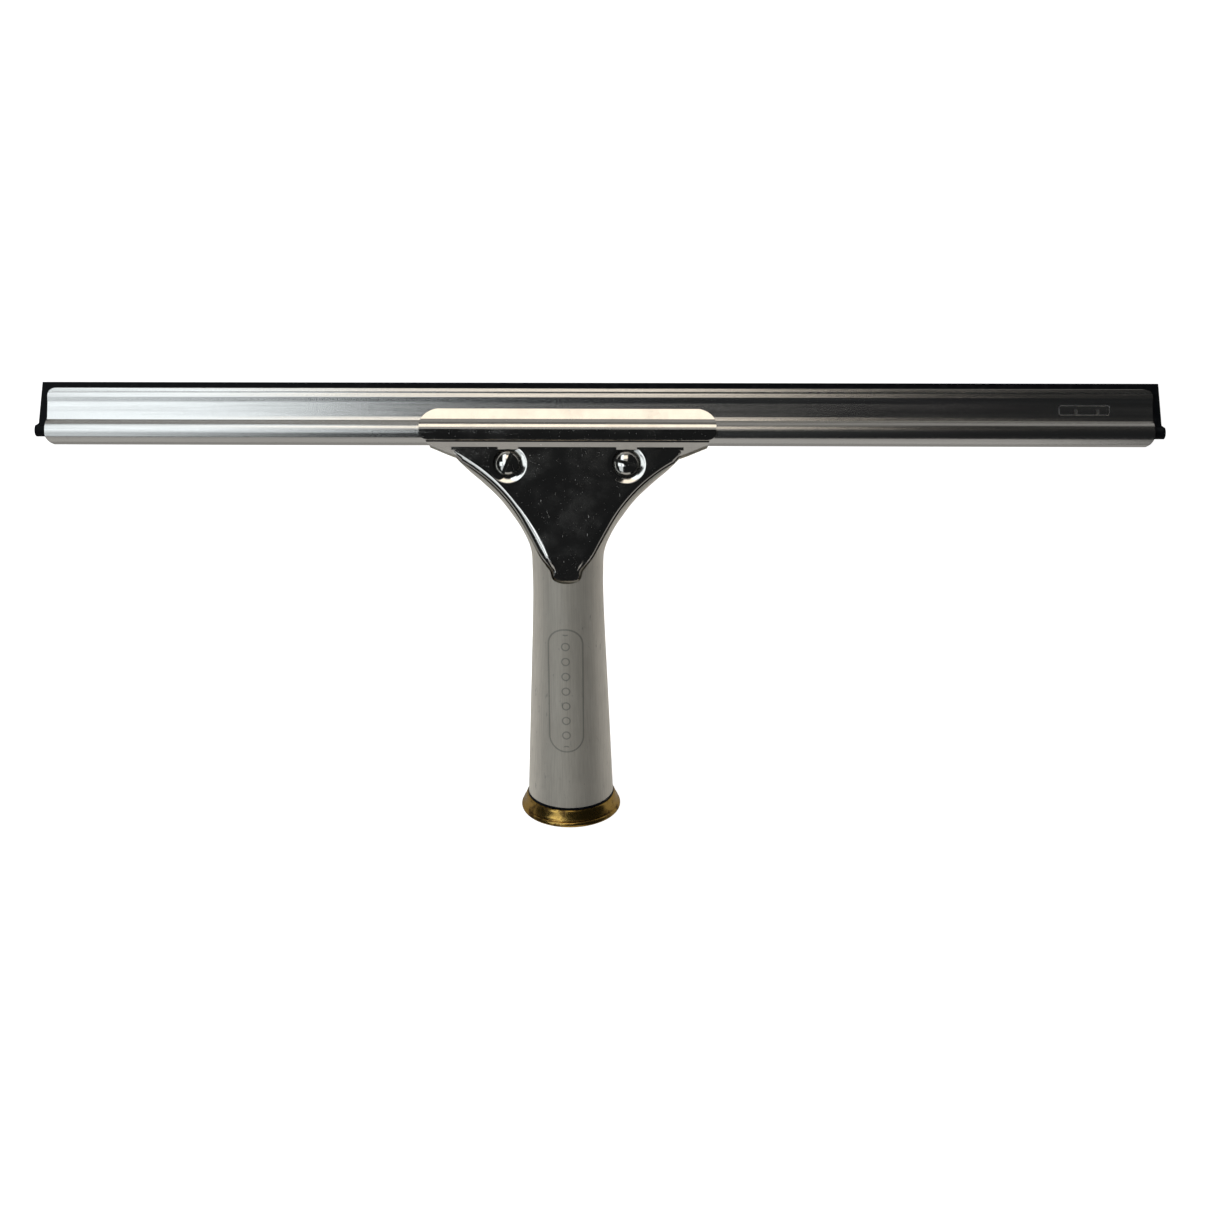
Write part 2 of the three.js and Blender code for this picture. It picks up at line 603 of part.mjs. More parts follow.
put(laid, "handle_body", handleGeometry(), satinSteel);
put(laid, "pole_bushing", bushingGeometry(), brass);
put(laid, "bushing_seal", sealGeometry(), blackRubber);
put(head, "clamp_plate", clampPlateGeometry(), polishedSteel);
put(head, "blade_channel", channelGeometry(), brushedSteel);
put(head, "rubber_blade", rubberGeometry(), blackRubber);
screwPlaces.forEach((x, i) => {
  const side = screwSides[i];
  const at = [x, -SCREW_AT, 0];
  put(head, `clamp_screw_${side}`, screwGeometry(SLOT_TURNS[i]), polishedSteel).position.set(...at);
  put(head, `screw_washer_${side}`, washerGeometry(), polishedSteel).position.set(...at);
  put(head, `captive_nut_${side}`, nutGeometry(), springSteel).position.set(...at);
  put(head, `rubber_clip_${side}`, clipGeometry(i ? 1 : -1), springSteel);
});

// It lies on the flange's back and on whichever is lower, the channel's rear lip or the rubber.
const flangeHeight = FLANGE_RIM / 2;
const rearEdges = [
  new THREE.Vector3(0, CHANNEL_TOP - 0.3, -CHANNEL_HALF_FLAT - LIP_PROUD),
  new THREE.Vector3(0, rubberTop, -RUBBER_HALF_WEB),
];
const lean = Math.min(...rearEdges.map((edge) => {
  edge.applyMatrix4(headPlace);
  return Math.atan2(edge.z + FLANGE_RADIUS, edge.y - flangeHeight);
}));
laid.rotation.x = -lean;
squeegee.updateMatrixWorld(true);
const bounds = new THREE.Box3().setFromObject(squeegee, true);
const middle = bounds.getCenter(new THREE.Vector3());
laid.position.set(-middle.x, -middle.y, -bounds.min.z);

export default squeegee;
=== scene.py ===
import json
import math

import bpy
from mathutils import Matrix, Vector


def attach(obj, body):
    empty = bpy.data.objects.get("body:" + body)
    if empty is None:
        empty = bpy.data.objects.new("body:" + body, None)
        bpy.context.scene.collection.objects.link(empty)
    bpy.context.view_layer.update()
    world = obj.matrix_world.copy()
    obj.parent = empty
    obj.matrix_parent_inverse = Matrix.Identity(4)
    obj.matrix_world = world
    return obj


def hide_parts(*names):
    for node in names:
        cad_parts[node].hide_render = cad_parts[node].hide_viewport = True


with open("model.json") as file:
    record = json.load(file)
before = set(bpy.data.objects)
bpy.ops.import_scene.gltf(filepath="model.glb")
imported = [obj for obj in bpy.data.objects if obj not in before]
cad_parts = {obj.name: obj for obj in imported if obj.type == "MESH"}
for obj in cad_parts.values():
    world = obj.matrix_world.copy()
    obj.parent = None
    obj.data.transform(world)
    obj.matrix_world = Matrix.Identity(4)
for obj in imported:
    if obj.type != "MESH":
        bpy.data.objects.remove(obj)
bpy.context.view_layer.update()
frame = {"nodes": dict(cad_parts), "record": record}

MM = 0.001

# ---------------------------------------------------------------- places
# Two drawing frames, in millimetres. In the handle's frame the socket mouth is at the origin, Y runs
# up the handle and Z out of its front. The head's frame is centred on the bead, bent back from it.
socket = frame["record"]["mounts"][0]
up_handle = -Vector(socket["axis"]).normalized()
HANDLE = Matrix.Translation(Vector(socket["pos_m"]) - Vector((13.5 * MM, 0, 0))) @ Matrix.Rotation(
    math.atan2(up_handle.z, up_handle.y), 4, "X")
HEAD_ANGLE = math.radians(25)
HEAD_REACH, HEAD_DROP = 129, 12.1
HEAD_IN_HANDLE = Matrix.Translation((0, HEAD_REACH, -HEAD_DROP)) @ Matrix.Rotation(-HEAD_ANGLE, 4, "X")
SCALE = Matrix.Scale(MM, 4)
IN_HANDLE = HANDLE @ SCALE
IN_HEAD = HANDLE @ SCALE @ HEAD_IN_HANDLE

CHANNEL_LENGTH, CHANNEL_OFFSET = 355.6, 9
BEAD, FLAT, LIP_TOP = 4.2, 1.75, 14.1
SHEET = 1.1
SCREW_X, SCREW_Y = 19, -10.6
SEAT, FAN, SKIRT = 3.3, 5.4, 0.6
FAN_TOP = -6.1
NOSE_TIP = -48.1
RIM = 1.7                   # how far the fan's edge is rolled over
HOLE_RADIUS = 2.4           # clearance holes of both screws
BEHIND = 3.92               # level of the clamp plate's sheet under the fan
REAR_LEVEL = 4.93           # level of the back plate where the rear jaw joins it
TUBE_SIDES, TUBE_STEPS = 96, 72


# ---------------------------------------------------------------- modelling helpers
def deselect():
    if bpy.context.object and bpy.context.object.mode != "OBJECT":
        bpy.ops.object.mode_set(mode="OBJECT")
    for o in bpy.context.selected_objects:
        o.select_set(False)


def pick(obj):
    deselect()
    obj.select_set(True)
    bpy.context.view_layer.objects.active = obj
    return obj


def edit(obj):
    pick(obj)
    bpy.ops.object.mode_set(mode="EDIT")
    bpy.ops.mesh.select_all(action="SELECT")


def leave_edit():
    bpy.ops.object.mode_set(mode="OBJECT")


def outline(name, points, close=True):
    """A line of edges drawn point by point by extruding one vertex, and filled when it is closed."""
    deselect()
    bpy.ops.mesh.primitive_plane_add(size=1, location=(0, 0, 0))
    obj = bpy.context.object
    obj.name = name
    edit(obj)
    bpy.ops.mesh.merge(type="CENTER")
    bpy.ops.transform.translate(value=points[0])
    for a, b in zip(points, points[1:]):
        bpy.ops.mesh.extrude_vertices_move(
            TRANSFORM_OT_translate={"value": Vector(b) - Vector(a)})
    if close:
        bpy.ops.mesh.select_all(action="SELECT")
        bpy.ops.mesh.edge_face_add()
    return obj


def drawn_out(name, points, move):
    """A closed outline extruded into a solid bar."""
    obj = outline(name, points)
    bpy.ops.mesh.extrude_region_move(TRANSFORM_OT_translate={"value": move})
    bpy.ops.mesh.select_all(action="SELECT")
    bpy.ops.mesh.normals_make_consistent(inside=False)
    leave_edit()
    return obj


def bar(name, section, length, centre=0.0):
    """A section of (up the head, out of the front) extruded along the blade."""
    return drawn_out(name, [(centre - length / 2, a, b) for a, b in section], (length, 0, 0))


def slab(name, points, low, high):
    """An outline of (across, up) raised from one front level to another."""
    return drawn_out(name, [(x, y, low) for x, y in points], (0, 0, high - low))


def spun(name, profile, steps=72, at=(0, 0), axis=(0, 0, 1)):
    """A closed profile of (radius, height) spun about the screw's direction, or about Y."""
    if axis[2]:
        points = [(at[0] + r, at[1], h) for r, h in profile]
        centre = (at[0], at[1], 0)
    else:
        points = [(r, h, 0) for r, h in profile]
        centre = (0, 0, 0)
    obj = outline(name, points + points[:1], close=False)
    bpy.ops.mesh.select_all(action="SELECT")
    bpy.ops.mesh.spin(steps=steps, angle=2 * math.pi, center=centre, axis=axis)
    bpy.ops.mesh.select_all(action="SELECT")
    bpy.ops.mesh.remove_doubles(threshold=0.002)
    bpy.ops.mesh.dissolve_degenerate(threshold=0.0005)
    bpy.ops.mesh.select_all(action="SELECT")
    bpy.ops.mesh.normals_make_consistent(inside=False)
    leave_edit()
    return obj


def use(obj, kind, **settings):
    """Adds a modifier and applies it."""
    pick(obj)
    m = obj.modifiers.new(kind.title(), kind)
    for key, value in settings.items():
        setattr(m, key, value)
    bpy.ops.object.modifier_apply(modifier=m.name)
    return obj


def carve(obj, tool, how="DIFFERENCE"):
    """Cuts with, joins to or keeps what is common with another solid, which is then thrown away."""
    use(obj, "BOOLEAN", operation=how, object=tool, solver="EXACT")
    bpy.data.objects.remove(tool)
    return obj


def rounded(obj, width, angle):
    """Rounds every edge sharper than an angle."""
    return use(obj, "BEVEL", width=width, segments=2, limit_method="ANGLE",
               angle_limit=math.radians(angle), use_clamp_overlap=True, miter_outer="MITER_ARC")


def smooth(obj, angle):
    """Shades smoothly over edges flatter than an angle, with the large faces kept flat."""
    pick(obj)
    bpy.ops.object.shade_smooth_by_angle(angle=math.radians(angle))
    return use(obj, "WEIGHTED_NORMAL", keep_sharp=True, weight=60)


def clamp(value):
    return max(0.0, min(1.0, value))


def cut_across(obj, places, axis):
    """Cuts all faces by planes square to an axis, and takes nothing away."""
    edit(obj)
    for at in places:
        bpy.ops.mesh.select_all(action="SELECT")
        bpy.ops.mesh.bisect(plane_co=[at * a for a in axis], plane_no=axis)
    leave_edit()


def place(obj, matrix):
    """Moves a piece from its drawing frame to where it belongs, and leaves the place in its mesh."""
    pick(obj)
    obj.matrix_world = matrix
    bpy.context.view_layer.update()
    bpy.ops.object.transform_apply(location=True, rotation=True, scale=True)
    return obj


def arc(radius, first, last, steps, up=0.0, out=0.0):
    """Points of (up, out) on an arc. The angle starts at the front and grows towards the blade's edge."""
    turns = [math.radians(first + (last - first) * i / steps) for i in range(steps + 1)]
    return [(up + radius * math.sin(t), out + radius * math.cos(t)) for t in turns]


def ellipse(x, y, rx, ry, first, last, steps):
    """Points of (across, up) on an ellipse. The angle starts at the right and grows upwards."""
    turns = [math.radians(first + (last - first) * i / steps) for i in range(steps + 1)]
    return [(x + rx * math.cos(t), y + ry * math.sin(t)) for t in turns]


def curve(points, steps):
    """A smooth line of steps + 1 points through the given ones."""
    pts = [Vector(p) for p in points]
    ends = [2 * pts[0] - pts[1]] + pts + [2 * pts[-1] - pts[-2]]
    line = []
    for i in range(steps + 1):
        s = min(i * (len(pts) - 1) / steps, len(pts) - 1 - 1e-9)
        k, t = int(s), s - int(s)
        a, b, c, d = ends[k:k + 4]
        line.append(0.5 * (2 * b + (c - a) * t + (2 * a - 5 * b + 4 * c - d) * t ** 2
                           + (3 * b - a - 3 * c + d) * t ** 3))
    return line


def mirrored(right):
    """A right-hand side from top to bottom, closed with its mirror image."""
    left = [(-x, y) for x, y in reversed(right) if abs(x) > 1e-6]
    return list(right) + left


def offset(points, distance):
    """A closed outline moved outwards, or inwards if the distance is negative."""
    n = len(points)
    by = distance if isinstance(distance, list) else [distance] * n
    area = sum(points[i][0] * points[(i + 1) % n][1] - points[(i + 1) % n][0] * points[i][1]
               for i in range(n))
    side = 1 if area > 0 else -1
    moved = []
    for i in range(n):
        a = (Vector(points[i]) - Vector(points[i - 1])).normalized()
        b = (Vector(points[(i + 1) % n]) - Vector(points[i])).normalized()
        normal = Vector((a.y + b.y, -a.x - b.x)).normalized() * side
        spread = max(0.4, normal.dot(Vector((a.y, -a.x)) * side))
        moved.append(tuple(Vector(points[i]) + normal * by[i] / spread))
    return moved


def loft(name, rings):
    """A circle extruded ring by ring, each ring then set to its own outline, closed at both ends."""
    count = len(rings[0])
    deselect()
    bpy.ops.mesh.primitive_circle_add(vertices=count, radius=1, fill_type="NGON")
    obj = bpy.context.object
    obj.name = name
    edit(obj)
    for _ in rings[1:]:
        bpy.ops.mesh.extrude_region_move(TRANSFORM_OT_translate={"value": (0, 0, 1)})
    leave_edit()
    for v in obj.data.vertices:
        level = round(v.co.z)
        turn = math.atan2(v.co.x, v.co.y) % (2 * math.pi)
        v.co = rings[level][round(turn / (2 * math.pi) * count) % count]
    edit(obj)
    bpy.ops.mesh.normals_make_consistent(inside=False)
    leave_edit()
    return obj


# ---------------------------------------------------------------- outlines
fan_side = [(38.7, -6.6), (35.2, -9.1), (29.9, -12.5), (24.8, -16.5), (20.2, -21.1), (16.2, -26.2),
            (13, -31.4), (10.5, -36), (8.4, -40), (6.4, -42.9), (5.0, -44.8), (4.5, -46.4),
            (3.7, -47.5), (2.1, -48.0), (0, NOSE_TIP)]


def fan_outline(steps=90):
    """The clamp plate's fan, from its straight top edge down to the nose."""
    corner = [(35.4, FAN_TOP), (36.3, -6.45), (36.5, -7.1)]
    return mirrored(corner + [tuple(p) for p in curve(fan_side, steps) if p.x < 34.6])


def fan_ring(level, inset):
    """The fan's outline drawn in by an inset that grows towards the nose. The top edge is not rolled."""
    whole = fan_outline()
    by = []
    for x, y in whole:
        low_sides = 1 + 0.6 * clamp((-24 - y) / 10) * clamp((y + 44) / 5)
        at_tip = 1 - 0.9 * clamp((-45.3 - y) / 1.6)
        at_corner = 0.2 + 0.8 * clamp((-6.6 - y) / 3.2)
        by.append(-inset * low_sides * at_tip * at_corner)
    ring = offset(whole, by)
    return [(x, FAN_TOP if w[1] == FAN_TOP else min(y, FAN_TOP - 0.3), level)
            for w, (x, y) in zip(whole, ring)]


def nose_drop(y):
    """How far the nose dips where it goes into the tube."""
    down = max(0.0, -40.2 - y)
    return 0.5 * down ** 2 / (down + 1.6)


jaw_half = 47.6
jaw_right = (
    ellipse(jaw_half - 7.4, 1.9, 7.4, 5.6, 90, 0, 14)
    + ellipse(jaw_half - 2.4, -0.6, 2.4, 2.3, 0, -80, 8)
    + [(jaw_half - 2.6, -4.3), (38.7, -6.9), (34, -8.6)])
jaw_outline = mirrored(jaw_right)


# ---------------------------------------------------------------- channel and rubber
def make_channel():
    wall = 0.6
    outer = (
        arc(BEAD, -90, 62, 26)
        + [(BEAD + 0.05, FLAT + 0.1), (BEAD + 0.6, FLAT), (BEAD + 0.75, FLAT), (9.2, FLAT), (9.35, FLAT)]
        + [(9.6, FLAT + 0.04), (9.75, FLAT + 0.07), (10.7, FLAT + 0.28), (10.9, FLAT + 0.33)]
        + [(11.05, FLAT + 0.36), (11.2, FLAT + 0.35), (12.3, FLAT + 0.14), (12.45, FLAT + 0.1)]
        + [(12.6, FLAT + 0.03), (12.8, FLAT + 0.06), (12.9, FLAT + 0.23), (13.0, FLAT + 0.25)]
        + [(LIP_TOP - 0.25, FLAT + 0.1), (LIP_TOP - 0.1, FLAT + 0.04), (LIP_TOP, FLAT - 0.08)])
    inner = [(LIP_TOP, FLAT - wall), (BEAD + 0.4, FLAT - wall)] + arc(BEAD - wall, 65, -90, 20)
    section = ([(u, -z) for u, z in reversed(outer)] + outer[1:]
               + inner + [(u, -z) for u, z in reversed(inner[:-1])])
    obj = bar("channel_profile", section, CHANNEL_LENGTH, CHANNEL_OFFSET)
    half = CHANNEL_LENGTH / 2
    end = (ellipse(half - 3.2, LIP_TOP - 2.2, 3.2, 2.2, 90, 0, 8)
           + ellipse(half - 2.2, 3.0 - BEAD, 2.2, 3.0, 0, -90, 8))
    mask = slab("end_mask", [(x + CHANNEL_OFFSET, y) for x, y in mirrored(end)], -9, 9)
    carve(obj, mask, "INTERSECT")
    return place(smooth(obj, 30), IN_HEAD)


def make_rubber():
    web, top = 0.9, 16.1
    side = arc(1.95, -90, 60, 20, up=0.3) + [(2.2, web), (top - 0.12, web), (top, web - 0.12)]
    section = [(u, -z) for u, z in reversed(side)] + side[1:]
    obj = bar("rubber_strip", section, CHANNEL_LENGTH + 20, CHANNEL_OFFSET)
    half = CHANNEL_LENGTH / 2
    end = [(half + 2, top + 1), (half + 3.0, 2.6), (half + 4, 1.9), (half + 4, -1.2), (half + 3.6, -3)]
    mask = slab("end_mask", [(x + CHANNEL_OFFSET, y) for x, y in mirrored(end)], -9, 9)
    carve(obj, mask, "INTERSECT")
    return place(smooth(obj, 35), IN_HEAD)


# ---------------------------------------------------------------- clamp plate
JAW_OUT = BEAD + 0.3 + SHEET


def jaw_section(side, level, last, end):
    """One jaw: a flat lip along the channel, a roll over the bead, then a flat at a level."""
    lip = [(7.28, 2.05), (7.28, 2.979), (7.1, 3.034), (3.95, 4.0), (3.8, 4.047)]
    roll = arc(JAW_OUT, 40.5, last, 40)
    inner_end = -math.degrees(math.acos((level - SHEET) / (BEAD + 0.3)))
    inside = arc(BEAD + 0.3, inner_end, 58, 26) + [(6.0, 2.05)]
    ends = end + [(end[-1][0], level - SHEET)]
    return [(u, side * z) for u, z in lip + roll + ends + inside]


def make_clamp_plate():
    # Under the roll the valley leans slightly towards the blade's edge, then dips before the fan.
    last = -31
    u0, z0 = arc(JAW_OUT, last, last, 1)[0]
    valley = [(u0 - 0.14, z0 - 0.3), (u0 - 0.24, z0 - 0.62), (-3.4, 4.08), (-3.6, 4.07), (-3.72, 4.084),
              (-5.15, 4.254), (-5.27, 4.268), (-5.29, BEHIND), (-9.2, BEHIND)]
    obj = bar("clamp_plate_front", jaw_section(1, BEHIND, last, valley), 2 * jaw_half + 2)
    # At both feet, beyond the fan's corners, the valley runs on down to the edge.
    for side in (-1, 1):
        for top, level, length, centre in ((-4.9, 4.206, 11.2, 42.8), (-6.3, 4.372, 15, 40.9)):
            section = [(top, level), (-9.1, 4.705), (-9.1, 3.2), (top, 3.2)]
            carve(obj, bar("foot", section, length, centre * side), "UNION")
    # Cuts across the long flats keep their shading even.
    cut_across(obj, (-46.6, -45, -43.2, -41.3, -39.6, -14, 14, 39.6, 41.3, 43.2, 45, 46.6), (1, 0, 0))
    carve(obj, slab("jaw_mask", jaw_outline, -20, 20), "INTERSECT")
    # The raised fan, with its rim rolled over.
    rings = [fan_ring(SKIRT, 0.0)]
    for i in range(12):
        t = math.radians(90 * i / 11)
        rings.append(fan_ring(FAN - RIM + RIM * math.sin(t), RIM * (1 - math.cos(t)) + 0.02))
    fan = loft("fan", rings)
    inside = [p for p in offset(fan_outline(), -2.8) if abs(p[0]) < 28 and p[1] > -39]
    carve(fan, slab("fan_hollow", inside, SKIRT - 3, FAN - 2.4))
    carve(obj, fan, "UNION")
    for x in (-SCREW_X, SCREW_X):
        cup = spun("cup", [(0, SEAT - SHEET), (6.03, SEAT - SHEET), (6.03, FAN - 0.87), (0, FAN - 0.87)],
                   48, (x, SCREW_Y))
        carve(cup, slab("cup_mask", offset(fan_outline(), -0.5), -20, 20), "INTERSECT")
        carve(obj, cup, "UNION")
    tongue = [(-46.2, 1.95), (-48, 1.15), (-54.9, -1.7), (-54.9, -2.5), (-48, 0.1), (-46.2, 0.9)]
    carve(obj, bar("tongue", tongue, 7.6), "UNION")
    # A short neck joins the valley to the round seat of each screw. The seat's lip is soft.
    well = [(0, SEAT), (4.42, SEAT), (4.6, SEAT + 0.14), (4.64, FAN - 0.48), (4.64, FAN + 6), (0, FAN + 6)]
    lip = [(0, FAN - 0.5), (4.5, FAN - 0.5), (4.8, FAN - 0.38), (5.2, FAN - 0.22), (5.65, FAN - 0.09),
           (6.05, FAN - 0.02), (6.3, FAN + 0.01), (6.3, FAN + 6), (0, FAN + 6)]
    for x in (-SCREW_X, SCREW_X):
        flare = [(2.1, -8), (2.1, -6.9), (2.4, -6.55), (3.1, -6.25), (4.3, -6.0), (4.3, -4.7)]
        neck = slab("neck", [(x + a, u) for a, u in mirrored(flare)], 4.45, 12)
        floor = bar("neck_floor", [(-4.9, 4.206), (-6.9, 4.444), (-6.9, 3.2), (-4.9, 3.2)], 6.6, x)
        carve(obj, neck)
        carve(obj, floor, "UNION")
        carve(obj, spun("seat_lip", lip, 72, (x + 0.1, SCREW_Y - 0.4)))
        carve(obj, spun("seat", well, 72, (x, SCREW_Y)))
        hole = [(0, -9), (HOLE_RADIUS, -9), (HOLE_RADIUS, 9), (0, 9)]
        carve(obj, spun("hole", hole, 32, (x, SCREW_Y)))
    # The nose bends down, cut across first so that it can bend. The fan's corners are cut off its flat.
    cut_across(obj, [-6.4] + [-40.3 - 0.68 * k for k in range(12)], (0, 1, 0))
    cut_across(obj, (-35.5, -33.6, -31.5, -29.5, 29.5, 31.5, 33.6, 35.5), (1, 0, 0))
    for v in obj.data.vertices:
        if v.co.z > FAN - 2.3:
            v.co.z -= nose_drop(v.co.y)
    return place(smooth(obj, 12), IN_HEAD)


# ---------------------------------------------------------------- handle
def in_head(down, level):
    return HEAD_IN_HANDLE @ Vector((0, -down, level))


def handle_rings(inset=0.0, overrun=0.0):
    """Rings from the socket to the jaw: a round tube that grows wide, flat and square."""
    tube = [(6.4, 14.4), (40.2, 13.0), (74, 11.6)]
    shaped = [((0, y, r), (0, y, -r), (r, 2, 0)) for y, r in tube]
    for down, front, back, width, square in (
            (43.5, 5.3, -19.2, 11.5, 2.1), (37, 6.0, -16.2, 12.0, 2.4), (31, 6.4, -13, 14.7, 2.7),
            (26, 6.5, -10.2, 18.1, 3), (21, 6.5, -7.7, 22.2, 3), (16, 6.4, -5.8, 27.6, 3),
            (12.4, 6.2, -5, 31.9, 3), (8.6, 6, -5, 35.8, 3), (5.4, 6, -5, 38.4, 3)):
        shaped.append((in_head(down, front), in_head(down, back), (width, square, 0)))
    fronts, backs, shapes = [curve([s[i] for s in shaped], TUBE_STEPS) for i in range(3)]
    rings = []
    for k, (front, back, shape) in enumerate(zip(fronts, backs, shapes)):
        middle, reach = (front + back) / 2, (front - back) / 2
        depth = reach.length
        reach = reach.normalized()
        ring = []
        for i in range(TUBE_SIDES):
            t = 2 * math.pi * i / TUBE_SIDES
            c, s = math.cos(t), math.sin(t)
            x = math.copysign(abs(c) ** (2 / shape.y), c) * (shape.x - inset)
            out = math.copysign(abs(s) ** (2 / shape.y), s) * (depth - inset)
            point = middle + reach * out
            ring.append(Vector((x, point.y, point.z)))
        if overrun and k in (0, TUBE_STEPS):
            shift = (Vector((0, -overrun, 0)) if k == 0
                     else HEAD_IN_HANDLE.to_3x3() @ Vector((0, overrun, 0)))
            ring = [p + shift for p in ring]
        rings.append(ring)
    return rings


def make_handle():
    obj = loft("handle_shell", handle_rings())
    carve(obj, loft("handle_hollow", handle_rings(SHEET, overrun=3)))
    to_handle = lambda tool: place(tool, HEAD_IN_HANDLE)
    carve(obj, to_handle(slab("fan_opening", offset(fan_outline(), 0.35), SKIRT - 0.3, 30)))
    carve(obj, to_handle(slab("jaw_opening", offset(jaw_outline, 0.3), SKIRT - 0.37, 30)))
    nose = ellipse(0, -46.5, 4.9, 2.6, 0, -180, 16) + [(-4.9, -44), (4.9, -44)]
    carve(obj, to_handle(slab("nose_slot", nose, SKIRT - 4, 30)))
    # The rear jaw is one with the back plate.
    last = -math.degrees(math.acos(REAR_LEVEL / JAW_OUT))
    jaw = bar("rear_jaw", jaw_section(-1, REAR_LEVEL, last, [(-8.6, REAR_LEVEL)]), 2 * jaw_half + 2)
    carve(jaw, slab("jaw_mask", jaw_outline, -20, 20), "INTERSECT")
    place(jaw, HEAD_IN_HANDLE)
    carve(obj, jaw, "UNION")
    for x in (-SCREW_X, SCREW_X):
        hole = spun("hole", [(0, -15), (HOLE_RADIUS, -15), (HOLE_RADIUS, 0), (0, 0)], 32, (x, SCREW_Y))
        carve(obj, to_handle(hole))
    rounded(obj, 0.06, 55)
    return place(smooth(obj, 30), IN_HANDLE)


# ---------------------------------------------------------------- screws, washers, bushing, seal
def make_screw(side, turn):
    x = SCREW_X * side
    under = SEAT + 0.7
    dome = [(3.85 * math.cos(math.radians(a)), under + 0.75 + 1.65 * math.sin(math.radians(a)))
            for a in range(0, 90, 9)]
    profile = ([(0, -7.4), (1.65, -7.4), (2.05, -6.9), (2.05, under), (3.7, under), (3.85, under + 0.15)]
               + dome + [(0, under + 2.4)])
    obj = spun("clamp_screw", profile, 72, (x, SCREW_Y))
    c, s = math.cos(math.radians(turn)), math.sin(math.radians(turn))
    slot = [(x + c * a - s * b, SCREW_Y + s * a + c * b)
            for a, b in ((-9, -0.55), (9, -0.55), (9, 0.55), (-9, 0.55))]
    carve(obj, slab("slot", slot, under + 1.25, under + 9))
    rounded(obj, 0.1, 45)
    obj.name = "clamp_screw_" + ("left" if side < 0 else "right") + "_turned"
    return place(smooth(obj, 40), IN_HEAD)


def make_washer(side):
    low = SEAT + 0.1
    high = low + 0.5
    profile = [(2.2, low), (4.3, low), (4.4, low + 0.1), (4.4, high - 0.1), (4.3, high), (2.2, high)]
    obj = spun("washer", profile, 72, (SCREW_X * side, SCREW_Y))
    obj.name = "screw_washer_" + ("left" if side < 0 else "right") + "_turned"
    return place(smooth(obj, 40), IN_HEAD)


def make_bushing():
    rim = [(15.95 + 0.95 * math.cos(math.radians(a)), 0.95 + 0.95 * math.sin(math.radians(a)))
           for a in range(-90, 91, 15)]
    profile = ([(11.3, 0), (15.1, 0)] + rim
               + [(16.3, 2.05), (16.2, 2.3), (16.3, 2.5), (15.95, 2.95), (15.6, 3.7), (15.35, 4.5),
                  (15.1, 5.05), (14.7, 5.45), (14.6, 5.5), (13.0, 5.5), (12.4, 28.4), (10.3, 28.4),
                  (11, 0.4)])
    obj = spun("pole_bushing_turned", profile, 112, axis=(0, 1, 0))
    return place(smooth(obj, 32), IN_HANDLE)


def make_seal():
    profile = [(13.2, 5.6), (14.5, 5.6), (14.65, 5.75), (14.65, 6.1), (14.5, 6.3), (13.2, 6.3)]
    obj = spun("bushing_seal_ring", profile, 112, axis=(0, 1, 0))
    return place(smooth(obj, 40), IN_HANDLE)


# ---------------------------------------------------------------- finishes
class Value:
    """A socket that can be written in sums. Each sum on it adds a Math node."""

    def __init__(self, finish, socket):
        self.finish, self.socket = finish, socket

    def math(self, operation, *others, clamp=False):
        return self.finish.node("ShaderNodeMath", {"operation": operation, "use_clamp": clamp},
                                dict(enumerate((self, *others))))

    def __add__(self, other): return self.math("ADD", other)
    def __radd__(self, other): return self.math("ADD", other)
    def __sub__(self, other): return self.math("SUBTRACT", other)
    def __mul__(self, other): return self.math("MULTIPLY", other)
    def __rmul__(self, other): return self.math("MULTIPLY", other)
    def __truediv__(self, other): return self.math("DIVIDE", other)
    def __gt__(self, other): return self.math("GREATER_THAN", other)
    def __lt__(self, other): return self.math("LESS_THAN", other)

    def __rsub__(self, other):
        return self.finish.node("ShaderNodeMath", {"operation": "SUBTRACT"}, {0: other, 1: self})

    def clamped(self):
        return self.math("ADD", 0.0, clamp=True)

    def ramp(self, low, high, to_low=0.0, to_high=1.0):
        return self.finish.node("ShaderNodeMapRange", {"interpolation_type": "SMOOTHSTEP"},
                                {"Value": self, "From Min": low, "From Max": high,
                                 "To Min": to_low, "To Max": to_high})


